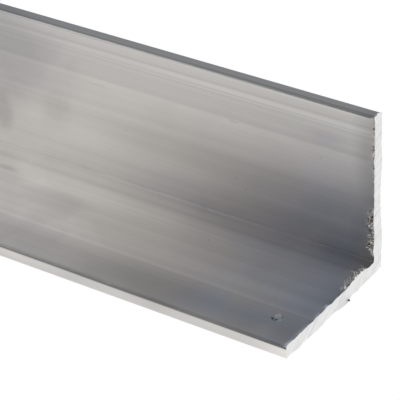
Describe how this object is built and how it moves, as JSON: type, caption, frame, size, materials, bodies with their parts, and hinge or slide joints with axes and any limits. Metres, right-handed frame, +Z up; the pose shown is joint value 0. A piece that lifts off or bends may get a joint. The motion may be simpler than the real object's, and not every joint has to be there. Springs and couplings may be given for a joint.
{
  "type": "metal angle section",
  "caption": "Straight length of L-shaped aluminium angle with equal legs, rounded inner toe edges and square sawn ends, for framing, edging and brackets.",
  "frame": {"origin": "middle of the bar's footprint, on the floor: half way along the length, half way across the flat leg, on its underside", "axes": "+X along the bar, +Y towards the upright leg's outer face, +Z up along the upright leg"},
  "size_m": [0.5, 0.05, 0.05],
  "materials": {
    "mill_aluminium": "mill finish, as extruded: satin, with fine die lines along the bar and bright sawn ends"
  },
  "bodies": {
    "root": {"angle_section": "mill_aluminium"}
  },
  "joints": []
}
